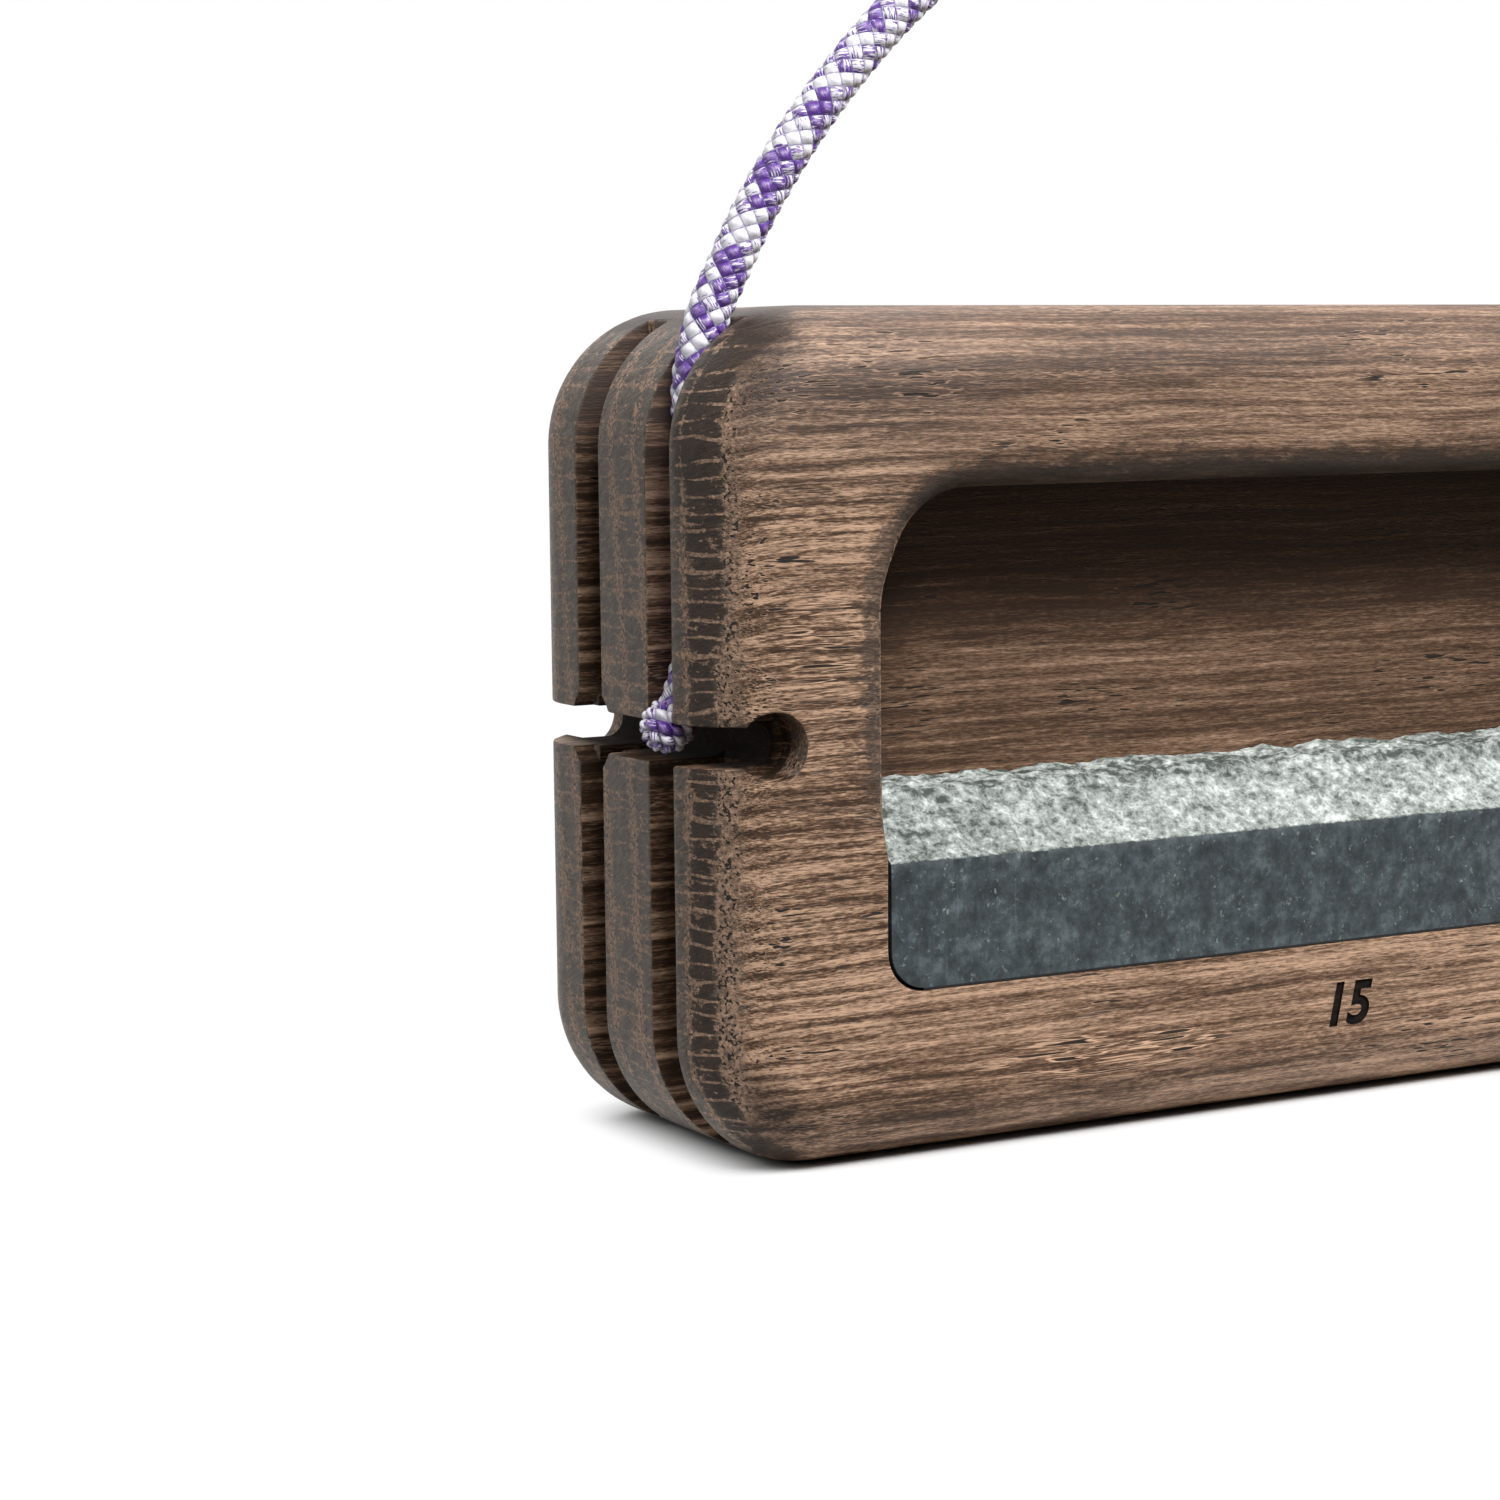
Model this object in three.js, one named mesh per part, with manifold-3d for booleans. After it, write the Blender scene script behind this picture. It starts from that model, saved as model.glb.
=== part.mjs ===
// Portable hangboard: a wooden grip block with a stone edge in each side, carried by a cord sling.
// Millimetres, +Z up, +X along the board. The front face looks along -Y.
// The origin is under the middle of the board, on the surface that it stands on.
import * as THREE from "three";
import { mergeVertices } from "three/addons/utils/BufferGeometryUtils.js";
import Module from "manifold-3d";

const wasm = await Module();
wasm.setup();

// Board: the block, its rounded corners seen from the front, and the rounding of its long edges
const boardLength = 180;
const boardHeight = 100;
const boardDepth = 48.5;
const cornerRadius = 16.5;
const edgeRounding = 10;

// Cord grooves, cut upright into each end; the insets run from the nearer face to the groove's middle
const grooveWidth = 5.8;
const grooveDepth = 10;
const frontGrooveInset = 12.8;
const rearGrooveInset = 17.9;

// Cross slot through each end, with a round seat for a knot where it comes out of a face
const slotHeight = 4.8;
const slotDepth = 10.6;
const slotRise = 50.2;
const seatDiameter = 8;
const seatDepth = 5.7;
const crossingDiameter = 10.2;
const crossingDepth = 2.6;

// Finger pockets: the walls' distance from the board's outside, and the rounding of the mouth
const pocketSideInset = 22.8;
const topRail = 21.2;
const bottomRail = 20.5;
const frontPocketDepth = 15;
const rearPocketDepth = 20;
const pocketTopRadius = 14.5;
const pocketBottomRadius = 5;
const mouthRounding = 5;
const mouthFade = 13;

// Stone edges: honed front, broken slope behind the crease, and a rough, nearly level back
const stoneFace = 14.8;
const stoneSlopeRun = 7.5;
const stoneSlopeRise = 7.6;
const stoneBackRise = 0.6;
const stoneRoughness = 0.7;
const roughPitch = 9;
const glueThickness = 0.4;

// The waves that the broken stone is uneven by: how often each comes in a pitch, how far it drifts
// from the front to the back, how it starts, and its height
const roughWaveShares = [
  { pace: 1, drift: 7, start: 1, height: 1 / 2 },
  { pace: 2.3, drift: -5, start: 2, height: 1 / 4 },
  { pace: 0.37, drift: 0, start: 3, height: 1 / 2 },
];
const frontSeed = 0.4;
const rearSeed = 2.1;

// Sling cord
const cordDiameter = 5.3;
const cordClearance = 0.3;
const hingeRise = 103.5;
const knotWidth = 6.2;
const knotHeight = 6;
const knotRise = 51.9;
const knotInset = 1;
const knotTop = 54.3;

// The cord's middle line at the left end, as distance in from the board's end and height
const runPoints = [
  [1.6, 54.6],
  [2.1, 56.6],
  [3.3, 60.5],
  [4.5, 65.5],
  [5.0, 72],
  [5.0, 80],
  [5.0, 86],
  [5.0, 91],
  [5.8, 95.4],
  [7.2, 99.6],
  [7.87, 101.02],
];
const archPoints = [
  [9.2, hingeRise],
  [13.9, 112],
  [22.4, 123.6],
  [34, 135.4],
  [47, 144.6],
  [61, 150.8],
  [75, 154.4],
  [90, 155.6],
];

// Facets
const cornerSteps = 8;
const roundingSteps = 6;
const mouthSteps = 5;
const boreSides = 24;
const cordSides = 10;
const cordStep = 2 * cordDiameter;
const knotSides = 16;
const stoneSteps = 30;
const slopeSteps = 3;

// How far a cutter runs past the surface that it cuts, and how near two corners are one
const overrun = 4;
const mergeTolerance = 1.8e-5;

const frontFace = -boardDepth / 2;
const frontGroove = frontFace + frontGrooveInset;
const rearGroove = boardDepth / 2 - rearGrooveInset;
const pocketHalf = boardLength / 2 - pocketSideInset;
const pocketTop = boardHeight - topRail;
const cordRadius = cordDiameter / 2;

// A closed solid from a geometry, by position alone
function solidOf(geometry) {
  const plain = geometry.index ? geometry.clone() : geometry;
  plain.deleteAttribute("normal");
  plain.deleteAttribute("uv");
  const merged = mergeVertices(plain, mergeTolerance);
  const mesh = new wasm.Mesh({
    numProp: 3,
    vertProperties: new Float32Array(merged.attributes.position.array),
    triVerts: new Uint32Array(merged.index.array),
  });
  return new wasm.Manifold(mesh);
}

function geometryOf(solid) {
  const mesh = solid.getMesh();
  const geometry = new THREE.BufferGeometry();
  const positions = new Float32Array(mesh.vertProperties);
  geometry.setAttribute("position", new THREE.BufferAttribute(positions, 3));
  geometry.setIndex(new THREE.BufferAttribute(new Uint32Array(mesh.triVerts), 1));
  geometry.computeVertexNormals();
  return geometry;
}

// A closed skin over rings of equally many points, with its first and last ring filled in. Each ring
// turns anticlockwise as flatten shows it, and the rings follow each other away from that view.
function loft(rings, flatten) {
  const count = rings[0].length;
  const positions = rings.flat().flatMap((point) => [point.x, point.y, point.z]);
  const index = [];
  for (let ring = 0; ring + 1 < rings.length; ring += 1) {
    for (let i = 0; i < count; i += 1) {
      const next = (i + 1) % count;
      const here = ring * count;
      const there = here + count;
      index.push(here + i, there + next, here + next);
      index.push(here + i, there + i, there + next);
    }
  }
  const last = (rings.length - 1) * count;
  for (const [a, b, c] of THREE.ShapeUtils.triangulateShape(rings[0].map(flatten), [])) {
    index.push(a, b, c);
  }
  for (const [a, b, c] of THREE.ShapeUtils.triangulateShape(rings.at(-1).map(flatten), [])) {
    index.push(last + c, last + b, last + a);
  }
  const geometry = new THREE.BufferGeometry();
  geometry.setAttribute("position", new THREE.Float32BufferAttribute(positions, 3));
  geometry.setIndex(index);
  return solidOf(geometry);
}

// An outline in the front view pushed straight along +Y from one depth to another
function extrudeFromFront(shape, startDepth, endDepth, options = {}) {
  const depth = endDepth - startDepth;
  const settings = { depth, bevelEnabled: false, curveSegments: cornerSteps, ...options };
  const geometry = new THREE.ExtrudeGeometry(shape, settings);
  geometry.rotateX(Math.PI / 2);
  geometry.translate(0, endDepth, 0);
  return geometry;
}

function roundedRectangle(width, height, radius) {
  const shape = new THREE.Shape();
  shape.moveTo(-width / 2 + radius, 0);
  shape.lineTo(width / 2 - radius, 0);
  shape.absarc(width / 2 - radius, radius, radius, -Math.PI / 2, 0, false);
  shape.lineTo(width / 2, height - radius);
  shape.absarc(width / 2 - radius, height - radius, radius, 0, Math.PI / 2, false);
  shape.lineTo(-width / 2 + radius, height);
  shape.absarc(-width / 2 + radius, height - radius, radius, Math.PI / 2, Math.PI, false);
  shape.lineTo(-width / 2, radius);
  shape.absarc(-width / 2 + radius, radius, radius, Math.PI, 1.5 * Math.PI, false);
  return shape;
}

// The block with all its long edges rounded over, front and back
function blank() {
  const shape = roundedRectangle(boardLength, boardHeight, cornerRadius);
  const geometry = extrudeFromFront(shape, frontFace + edgeRounding, -frontFace - edgeRounding, {
    bevelEnabled: true,
    bevelThickness: edgeRounding,
    bevelSize: edgeRounding,
    bevelOffset: -edgeRounding,
    bevelSegments: roundingSteps,
  });
  return solidOf(geometry);
}

// The pocket's outline in the front view, with the way outwards at each point
function pocketOutline() {
  const points = [];
  const addArc = (x, z, radius, start) => {
    for (let i = 0; i <= cornerSteps; i += 1) {
      const angle = start + (i / cornerSteps) * (Math.PI / 2);
      const out = new THREE.Vector2(Math.cos(angle), Math.sin(angle));
      points.push({ x: x + radius * out.x, z: z + radius * out.y, out });
    }
  };
  const addSide = (side, fromRise, toRise) => {
    for (let i = 1; i < mouthSteps; i += 1) {
      const z = fromRise + (i / mouthSteps) * (toRise - fromRise);
      points.push({ x: side * pocketHalf, z, out: new THREE.Vector2(side, 0) });
    }
  };
  const low = bottomRail + pocketBottomRadius;
  const high = pocketTop - pocketTopRadius;
  const fadeStart = bottomRail + glueThickness + stoneFace;
  const fadeEnd = fadeStart + mouthFade;
  addArc(pocketHalf - pocketBottomRadius, low, pocketBottomRadius, -Math.PI / 2);
  addSide(1, fadeStart, fadeEnd);
  addArc(pocketHalf - pocketTopRadius, high, pocketTopRadius, 0);
  addArc(-pocketHalf + pocketTopRadius, high, pocketTopRadius, Math.PI / 2);
  addSide(-1, fadeEnd, fadeStart);
  addArc(-pocketHalf + pocketBottomRadius, low, pocketBottomRadius, Math.PI);
  const share = (z) => THREE.MathUtils.smoothstep(z, fadeStart, fadeEnd);
  return points.map((point) => ({ ...point, mouthShare: share(point.z) }));
}

// The space of one pocket, opened from the front face; its mouth flares over the rounding, which
// fades out down the sides to end at the top of the stone's face
function pocketSpace(depth) {
  const outline = pocketOutline();
  const ringAt = (y, flare) =>
    outline.map(
      ({ x, z, out, mouthShare }) =>
        new THREE.Vector3(x + out.x * flare * mouthShare, y, z + out.y * flare * mouthShare),
    );
  const rings = [ringAt(frontFace - overrun, mouthRounding)];
  for (let i = 0; i <= mouthSteps; i += 1) {
    const angle = (i / mouthSteps) * (Math.PI / 2);
    const inward = mouthRounding * (1 - Math.cos(angle));
    const flare = mouthRounding * (1 - Math.sin(angle));
    rings.push(ringAt(frontFace + inward, flare));
  }
  rings.push(ringAt(frontFace + depth, 0));
  return loft(rings, ({ x, z }) => new THREE.Vector2(x, z));
}

function turnedRound(solid) {
  return solid.rotate([0, 0, 180]);
}

// One upright groove at the left end, open over the board's whole height
function grooveSpace(middle) {
  const geometry = new THREE.BoxGeometry(grooveDepth + overrun, grooveWidth, boardHeight + 2 * overrun);
  geometry.translate((grooveDepth - overrun - boardLength) / 2, middle, boardHeight / 2);
  return solidOf(geometry);
}

// The cross slot at the left end, with a round end
function slotSpace() {
  const left = -boardLength / 2 - overrun;
  const centre = -boardLength / 2 + slotDepth - slotHeight / 2;
  const shape = new THREE.Shape();
  shape.moveTo(left, slotRise - slotHeight / 2);
  shape.lineTo(centre, slotRise - slotHeight / 2);
  shape.absarc(centre, slotRise, slotHeight / 2, -Math.PI / 2, Math.PI / 2, false);
  shape.lineTo(left, slotRise + slotHeight / 2);
  return solidOf(extrudeFromFront(shape, frontFace - overrun, -frontFace + overrun));
}

// A round seat bored into the front face round the slot's end
function seatSpace() {
  const length = seatDepth + overrun;
  const geometry = new THREE.CylinderGeometry(seatDiameter / 2, seatDiameter / 2, length, boreSides);
  const centre = -boardLength / 2 + slotDepth - slotHeight / 2;
  geometry.translate(centre, frontFace + seatDepth - length / 2, slotRise);
  return solidOf(geometry);
}

// A shallow round relief where the rear groove crosses the slot
function crossingSpace() {
  const length = crossingDepth + overrun;
  const geometry = new THREE.CylinderGeometry(crossingDiameter / 2, crossingDiameter / 2, length, boreSides);
  geometry.rotateZ(Math.PI / 2);
  geometry.translate(-boardLength / 2 + crossingDepth - length / 2, rearGroove, slotRise);
  return solidOf(geometry);
}

function leftEndSpace() {
  const seat = seatSpace();
  const rearSeat = seat.mirror([0, 1, 0]);
  return grooveSpace(frontGroove)
    .add(grooveSpace(rearGroove))
    .add(slotSpace())
    .add(seat)
    .add(rearSeat)
    .add(crossingSpace());
}

function board() {
  const leftEnd = leftEndSpace();
  return blank()
    .subtract(pocketSpace(frontPocketDepth))
    .subtract(turnedRound(pocketSpace(rearPocketDepth)))
    .subtract(leftEnd)
    .subtract(leftEnd.mirror([1, 0, 0]));
}

// The unevenness of broken stone at a place along the edge and a share of the way back
function roughness(x, backShare, seed) {
  const along = (2 * Math.PI * x) / roughPitch;
  let share = 0;
  for (const { pace, drift, start, height } of roughWaveShares) {
    share += height * Math.sin(pace * along + drift * backShare + start * seed);
  }
  return stoneRoughness * share;
}

// The stone's section at one place along it, from the front foot by the back foot to the crease
function stoneSection(x, depth, seed) {
  const foot = bottomRail + glueThickness;
  const back = frontFace + depth - glueThickness;
  const crease = foot + stoneFace;
  const ridge = frontFace + stoneSlopeRun;
  const points = [new THREE.Vector3(x, frontFace, foot), new THREE.Vector3(x, back, foot)];
  for (let i = slopeSteps; i >= 1; i -= 1) {
    const share = i / slopeSteps;
    const lift = stoneBackRise * share + roughness(x, 1 + share, seed);
    points.push(new THREE.Vector3(x, ridge + (back - ridge) * share, crease + stoneSlopeRise + lift));
  }
  for (let i = slopeSteps; i >= 0; i -= 1) {
    const share = i / slopeSteps;
    const lift = stoneSlopeRise * share + roughness(x, share, seed) * share;
    points.push(new THREE.Vector3(x, frontFace + stoneSlopeRun * share, crease + lift));
  }
  return points;
}

// A stone bar, trimmed to the pocket's rounded lower corners less the glue's thickness
function stoneEdge(depth, seed) {
  const half = pocketHalf - glueThickness;
  const rings = [];
  for (let i = 0; i <= stoneSteps; i += 1) {
    rings.push(stoneSection(half - (2 * half * i) / stoneSteps, depth, seed));
  }
  const bar = loft(rings, ({ y, z }) => new THREE.Vector2(y, z));
  const radius = pocketBottomRadius - glueThickness;
  const outline = roundedRectangle(2 * half, boardHeight, radius);
  const trim = extrudeFromFront(outline, frontFace - overrun, frontFace + depth + overrun);
  trim.translate(0, 0, bottomRail + glueThickness);
  return bar.intersect(solidOf(trim));
}

// The glue under and behind a stone bar, clear of the pocket's rounded corners
function adhesive(depth) {
  const low = bottomRail;
  const high = bottomRail + glueThickness;
  const back = frontFace + depth;
  const top = high + stoneFace;
  const section = [
    [frontFace + glueThickness, low],
    [back, low],
    [back, top],
    [back - glueThickness, top],
    [back - glueThickness, high],
    [frontFace + glueThickness, high],
  ];
  const half = pocketHalf - pocketBottomRadius;
  const ringAt = (x) => section.map(([y, z]) => new THREE.Vector3(x, y, z));
  return loft([ringAt(half), ringAt(-half)], ({ y, z }) => new THREE.Vector2(y, z));
}

// A curve through points given as distance in from the board's end and height, in the front groove
function cordCurve(points, side) {
  const places = points.map(
    ([inset, rise]) => new THREE.Vector3(side * (boardLength / 2 - inset), frontGroove, rise),
  );
  return new THREE.CatmullRomCurve3(places, false, "centripetal");
}

function cordTube(curve) {
  const section = new THREE.Shape();
  section.absarc(0, 0, cordRadius, 0, 2 * Math.PI, false);
  const geometry = new THREE.ExtrudeGeometry(section, {
    steps: Math.ceil(curve.getLength() / cordStep),
    curveSegments: cordSides,
    bevelEnabled: false,
    extrudePath: curve,
  });
  return solidOf(geometry);
}

function cordRun(side) {
  return cordTube(cordCurve(runPoints, side));
}

// The free arch; each end is rounded about the swing axis
function cordArch() {
  const leftPlaces = cordCurve(archPoints, -1).points;
  const rightPlaces = cordCurve(archPoints.slice(0, -1).reverse(), 1).points;
  const curve = new THREE.CatmullRomCurve3([...leftPlaces, ...rightPlaces], false, "centripetal");
  let arch = cordTube(curve);
  for (const place of [leftPlaces[0], rightPlaces.at(-1)]) {
    const ball = new THREE.SphereGeometry(cordRadius, cordSides, cordSides);
    ball.rotateX(Math.PI / 2);
    ball.translate(place.x, place.y, place.z);
    arch = arch.add(solidOf(ball));
  }
  return arch;
}

// A stopper knot drawn into the mouth of the slot, flat where the cord comes into it
function stopperKnot(side) {
  const ball = new THREE.SphereGeometry(1, knotSides, knotSides / 2);
  ball.scale(knotWidth / 2, knotWidth / 2, knotHeight / 2);
  ball.translate(-boardLength / 2 + knotInset, frontGroove, knotRise);
  let knot = solidOf(ball);
  const cutBlock = (from, to) => {
    const size = to.clone().sub(from);
    const middle = from.clone().add(to).divideScalar(2);
    const block = new THREE.BoxGeometry(size.x, size.y, size.z);
    block.translate(middle.x, middle.y, middle.z);
    knot = knot.subtract(solidOf(block));
  };
  const end = -boardLength / 2 - cordClearance;
  const reach = knotWidth + overrun;
  const wallGap = grooveWidth / 2 - cordClearance;
  const slotTop = slotRise + slotHeight / 2 - cordClearance;
  const slotFloor = slotRise - slotHeight / 2 + cordClearance;
  const high = knotRise + knotHeight;
  const low = knotRise - knotHeight;
  for (const [bottom, top] of [[slotTop, high], [low, slotFloor]]) {
    for (const [near, far] of [[-reach, -wallGap], [wallGap, reach]]) {
      const from = new THREE.Vector3(end, frontGroove + near, bottom);
      cutBlock(from, new THREE.Vector3(end + reach, frontGroove + far, top));
    }
  }
  const from = new THREE.Vector3(end - reach, frontGroove - reach, knotTop);
  cutBlock(from, new THREE.Vector3(end + reach, frontGroove + reach, high));
  return side < 0 ? knot : knot.mirror([1, 0, 0]);
}

const darkWood = { color: 0x4e3a30, roughness: 0.72, metalness: 0 };
const slate = { color: 0x4d565c, roughness: 0.6, metalness: 0 };
const darkGlue = { color: 0x17181a, roughness: 0.5, metalness: 0 };
const cordYarn = { color: 0xcdbfe2, roughness: 0.6, metalness: 0 };

function piece(name, solid, finish) {
  const mesh = new THREE.Mesh(geometryOf(solid), new THREE.MeshStandardMaterial(finish));
  mesh.name = name;
  return mesh;
}

const group = new THREE.Group();
group.add(piece("board_body", board(), darkWood));
group.add(piece("front_stone_edge", stoneEdge(frontPocketDepth, frontSeed), slate));
group.add(piece("rear_stone_edge", turnedRound(stoneEdge(rearPocketDepth, rearSeed)), slate));
group.add(piece("front_stone_adhesive", adhesive(frontPocketDepth), darkGlue));
group.add(piece("rear_stone_adhesive", turnedRound(adhesive(rearPocketDepth)), darkGlue));
group.add(piece("sling_arch", cordArch(), cordYarn));
group.add(piece("sling_left_run", cordRun(-1), cordYarn));
group.add(piece("sling_right_run", cordRun(1), cordYarn));
group.add(piece("left_stopper_knot", stopperKnot(-1), cordYarn));
group.add(piece("right_stopper_knot", stopperKnot(1), cordYarn));

export default group;
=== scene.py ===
"""A wooden hangboard with a stone edge in each side and a braided cord sling, on a pale floor."""

import math

import bmesh
import bpy
from bpy.props import FloatProperty, FloatVectorProperty, IntProperty, PointerProperty
from bpy.types import Operator, Panel, PropertyGroup
from mathutils import Matrix, Vector, noise


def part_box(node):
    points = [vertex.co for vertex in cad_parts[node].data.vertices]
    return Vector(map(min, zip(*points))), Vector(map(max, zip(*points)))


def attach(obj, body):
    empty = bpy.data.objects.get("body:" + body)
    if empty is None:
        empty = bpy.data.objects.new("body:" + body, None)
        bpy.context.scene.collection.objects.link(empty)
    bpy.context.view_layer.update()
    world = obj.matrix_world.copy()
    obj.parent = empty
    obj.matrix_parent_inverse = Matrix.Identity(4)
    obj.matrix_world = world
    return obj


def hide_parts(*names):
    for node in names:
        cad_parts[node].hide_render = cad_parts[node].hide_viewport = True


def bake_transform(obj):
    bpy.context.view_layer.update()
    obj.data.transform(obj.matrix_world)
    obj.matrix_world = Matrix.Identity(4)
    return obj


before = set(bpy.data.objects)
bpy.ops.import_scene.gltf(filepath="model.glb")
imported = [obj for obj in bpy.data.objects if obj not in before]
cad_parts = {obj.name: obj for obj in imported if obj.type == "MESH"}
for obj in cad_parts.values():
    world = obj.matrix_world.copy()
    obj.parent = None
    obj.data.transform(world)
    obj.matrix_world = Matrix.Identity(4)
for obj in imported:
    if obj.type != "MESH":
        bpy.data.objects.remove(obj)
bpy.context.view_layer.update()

bl_info = {
    "name": "Hangboard",
    "version": (1, 0, 0),
    "blender": (4, 5, 0),
    "location": "3D View > Sidebar > Hangboard",
    "description": "Builds a hangboard with stone edges and a cord sling",
    "category": "Object",
}

board_low, board_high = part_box("board_body")
FRONT = board_low.y
END = board_high.x
HEIGHT = board_high.z
DEPTH = board_high.y - board_low.y
# How far a cutter reaches out of the board
OVERRUN = 0.004
# Points that are nearer than this are one
MERGED = 1e-6
# Edges with a greater angle than this stay sharp
SHARP = math.radians(35)
# Outward edges with a greater angle than this are broken
BROKEN = math.radians(38)
# The distance between the rings of points of the cord's skin
CORD_STEP = 0.00026


def length(name, default, description):
    """A size in metres, shown in the sidebar."""
    return FloatProperty(name=name, description=description, default=default, unit="LENGTH", precision=5)


def shade(name, default, description):
    """A colour, shown in the sidebar."""
    return FloatVectorProperty(
        name=name, description=description, default=default, size=3, min=0, max=1, subtype="COLOR"
    )


class BoardSizes(PropertyGroup):
    corner: length("Corner", 0.0165, "Radius of the block's corners seen from the front")
    rounding: length("Rounding", 0.010, "Radius of the rounding of the long edges")
    arris: length("Arris", 0.00028, "Width of the broken sharp edges")
    groove_width: length("Groove width", 0.0058, "Width of a cord groove")
    groove_depth: length("Groove depth", 0.010, "Depth of a cord groove")
    front_groove: length("Front groove", 0.0128, "Front groove's middle from the front face")
    rear_groove: length("Rear groove", 0.0179, "Rear groove's middle from the rear face")
    slot_height: length("Slot height", 0.0048, "Height of the cross slot")
    slot_depth: length("Slot depth", 0.0106, "Depth of the cross slot")
    slot_rise: length("Slot rise", 0.0502, "Height of the slot's middle")
    seat: length("Seat", 0.0080, "Diameter of the round seat at the slot's end")
    seat_depth: length("Seat depth", 0.0057, "Depth of the round seat")
    relief: length("Relief", 0.0102, "Diameter of the relief where a groove crosses the slot")
    relief_depth: length("Relief depth", 0.0026, "Depth of that relief")
    pocket_side: length("Pocket side", 0.0228, "Pocket's side from the board's end")
    top_rail: length("Top rail", 0.0212, "Height of the rail above the pocket")
    bottom_rail: length("Bottom rail", 0.0205, "Height of the rail below the pocket")
    front_pocket: length("Front pocket", 0.015, "Depth of the front pocket")
    rear_pocket: length("Rear pocket", 0.020, "Depth of the rear pocket")
    pocket_top: length("Pocket top", 0.0145, "Radius of the pocket's upper corners")
    pocket_bottom: length("Pocket bottom", 0.005, "Radius of the pocket's lower corners")
    mouth: length("Mouth", 0.005, "Radius of the rounding of the pocket's mouth")
    mouth_side: length("Side mouth", 0.0016, "Depth of that rounding at the pocket's sides")
    mouth_fade: length("Mouth fade", 0.013, "Height over which that rounding fades out")
    digits: length("Digits", 0.0074, "Size of the burned depth numbers")
    digits_rise: length("Digits' rise", 0.0124, "Height of the numbers' middle")
    burn_depth: length("Burn depth", 0.0003, "Depth of the burned numbers")


class StoneSizes(PropertyGroup):
    face: length("Face", 0.0148, "Height of the honed front")
    slope_run: length("Slope run", 0.0075, "Depth of the broken slope")
    slope_rise: length("Slope rise", 0.0076, "Height of the broken slope")
    back_rise: length("Back rise", 0.0006, "Rise of the broken top towards the back")
    glue: length("Glue", 0.0004, "Thickness of the glue under and behind the stone")
    rough: length("Roughness", 0.0007, "Height of the broken surface's unevenness")


class CordSizes(PropertyGroup):
    diameter: length("Diameter", 0.0053, "Diameter of the cord")
    stitch: length("Stitch", 0.00215, "Length of one stitch of the braid")
    relief: length("Relief", 0.00032, "Height of the stitches")
    carriers: IntProperty(name="Carriers", description="Strands laid in each direction", default=6, min=3)
    knot_width: length("Knot width", 0.0065, "Width of a stopper knot")
    knot_height: length("Knot height", 0.0064, "Height of a stopper knot")
    knot_rise: length("Knot rise", 0.0521, "Height of a knot's middle")
    knot_inset: length("Knot inset", 0.001, "How far a knot's middle lies inside the end")


class Colours(PropertyGroup):
    wood_dark: shade("Dark wood", (0.088, 0.047, 0.027), "Dark streaks of the wood")
    wood_mid: shade("Wood", (0.196, 0.117, 0.073), "Most of the wood")
    wood_light: shade("Light wood", (0.380, 0.243, 0.162), "Light streaks of the wood")
    end_grain: shade("End grain", (0.092, 0.073, 0.059), "Dense parts of the end grain")
    pore_line: shade("Pore lines", (0.240, 0.156, 0.108), "Open rings of the end grain")
    slate: shade("Slate", (0.046, 0.057, 0.063), "Honed front of the stone")
    broken: shade("Broken stone", (0.350, 0.380, 0.358), "Broken top of the stone")
    glue: shade("Glue", (0.016, 0.016, 0.017), "Glue round the stone")
    cord_light: shade("Light yarn", (0.895, 0.885, 0.925), "Light yarn of the cord")
    cord_dark: shade("Dark yarn", (0.100, 0.020, 0.280), "Dark yarn of the cord")


# The cord's middle line at one end, as distance in from the board's end and height, in metres
RUN = [
    (0.0022, 0.0530), (0.0037, 0.0566), (0.0047, 0.0605), (0.0052, 0.0655), (0.0053, 0.0720),
    (0.0052, 0.0800), (0.0050, 0.0860), (0.0050, 0.0910), (0.0058, 0.0954), (0.0072, 0.0996),
    (0.00787, 0.10102),
]
ARCH = [
    (0.0092, 0.1035), (0.0139, 0.1120), (0.0224, 0.1236), (0.0340, 0.1354), (0.0470, 0.1446),
    (0.0610, 0.1508), (0.0750, 0.1544), (0.0900, 0.1556),
]


# Meshes
def shade_smooth(mesh, angle=SHARP):
    mesh.polygons.foreach_set("use_smooth", [True] * len(mesh.polygons))
    mesh.set_sharp_from_angle(angle=angle)


def linked(name, data):
    """An object of the scene that shows the data."""
    made = bpy.data.objects.new(name, data)
    bpy.context.scene.collection.objects.link(made)
    return made


def finished(name, bm, material, angle=SHARP):
    """An object from a mesh that is in its place, smooth but for its sharp edges."""
    mesh = bpy.data.meshes.new(name)
    bm.to_mesh(mesh)
    bm.free()
    shade_smooth(mesh, angle)
    if material:
        mesh.materials.clear()
        mesh.materials.append(material)
    return linked(name, mesh)


def box_between(low, high):
    """A closed box from its lowest to its highest corner."""
    bm = bmesh.new()
    low, high = Vector(low), Vector(high)
    place = Matrix.Translation((low + high) / 2) @ Matrix.Diagonal((*(high - low), 1))
    bmesh.ops.create_cube(bm, size=1, matrix=place)
    return bm


def depth_of(edge):
    """How far an edge reaches from the front towards the rear."""
    a, b = edge.verts
    return abs(a.co.y - b.co.y)


def round_edges(bm, edges, radius, segments):
    bmesh.ops.bevel(
        bm,
        geom=edges,
        offset=radius,
        offset_type="OFFSET",
        segments=segments,
        profile=0.5,
        affect="EDGES",
        clamp_overlap=False,
        material=-1,
    )


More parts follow.
